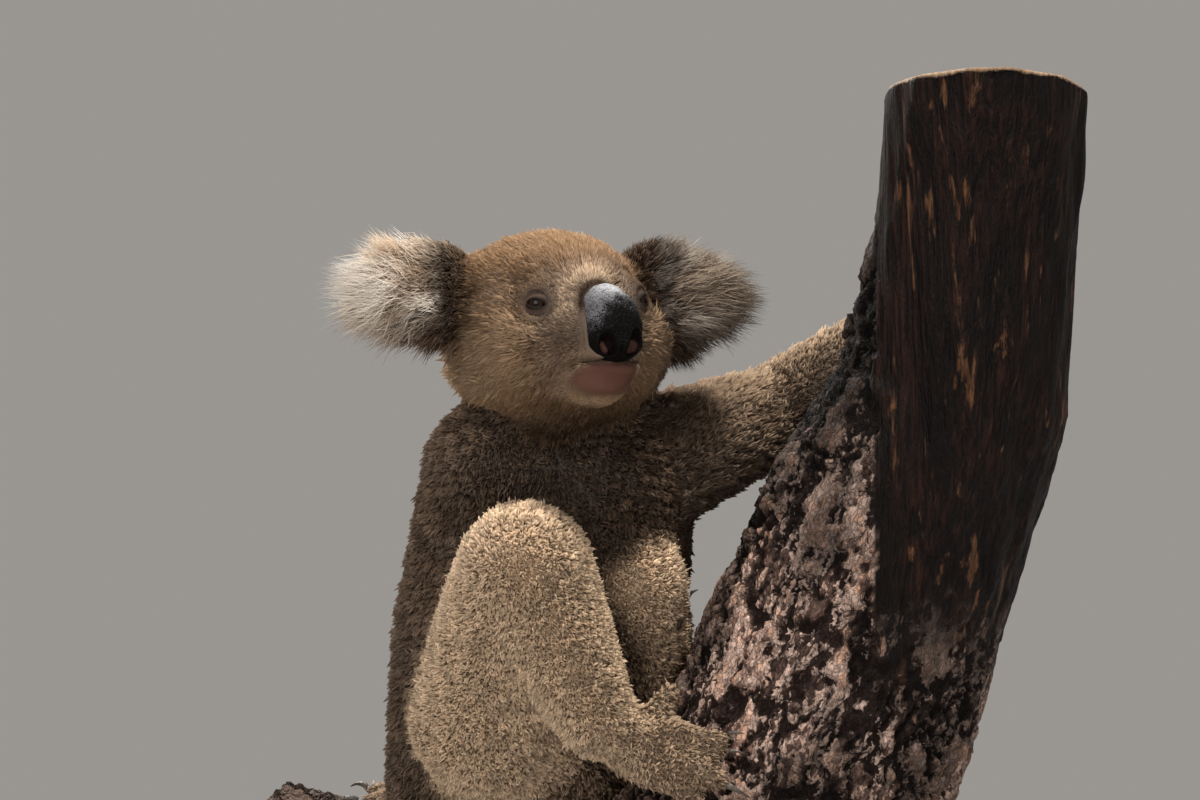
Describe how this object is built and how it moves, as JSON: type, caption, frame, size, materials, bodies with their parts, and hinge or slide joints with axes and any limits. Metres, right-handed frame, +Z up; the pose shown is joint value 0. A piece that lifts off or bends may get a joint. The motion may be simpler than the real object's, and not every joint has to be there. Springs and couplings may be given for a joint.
{
  "type": "koala display model",
  "caption": "Life-size koala sitting in the cut fork of a gum tree, one arm reaching to the stem, on a flat base with rods.",
  "frame": {"origin": "centre of the stand base's underside", "axes": "+Z up; the koala's body faces -Y, its face turned about 26 degrees towards +X, the upright stem at +X and the side limb at -X"},
  "size_m": [0.5306, 0.3565, 0.745],
  "materials": {
    "fur": "woolly grey-brown fur, paler on the legs and ear fringes",
    "nose_skin": "black leathery skin with a grey bloom",
    "eye": "wet and glossy, dark brown",
    "claw": "dark polished horn",
    "bark": "rough fissured bark, dark red-brown on the stem",
    "stand_board": "painted board, matt",
    "stand_steel": "satin"
  },
  "bodies": {
    "root": {"head": "fur", "neck": "fur", "torso": "fur", "rump": "fur", "ear_left": "fur", "ear_right": "fur", "arm_left_upper": "fur", "arm_left_fore": "fur", "arm_right_upper": "fur", "arm_right_fore": "fur", "leg_left_thigh": "fur", "leg_left_shin": "fur", "leg_right_thigh": "fur", "leg_right_shin": "fur", "hand_left": "fur", "hand_right": "fur", "foot_left": "fur", "foot_right": "fur", "nose": "nose_skin", "eye_left": "eye", "eye_right": "eye", "claw_hand_left_1": "claw", "claw_hand_left_2": "claw", "claw_hand_left_3": "claw", "claw_hand_left_4": "claw", "claw_hand_left_5": "claw", "claw_hand_right_1": "claw", "claw_hand_right_2": "claw", "claw_hand_right_3": "claw", "claw_hand_right_4": "claw", "claw_hand_right_5": "claw", "claw_foot_left_2": "claw", "claw_foot_left_3": "claw", "claw_foot_left_4": "claw", "claw_foot_left_5": "claw", "claw_foot_right_2": "claw", "claw_foot_right_3": "claw", "claw_foot_right_4": "claw", "claw_foot_right_5": "claw", "perch_stem": "bark", "perch_limb": "bark", "stand_base": "stand_board", "stand_rod_1": "stand_steel", "stand_rod_2": "stand_steel"}
  },
  "joints": []
}
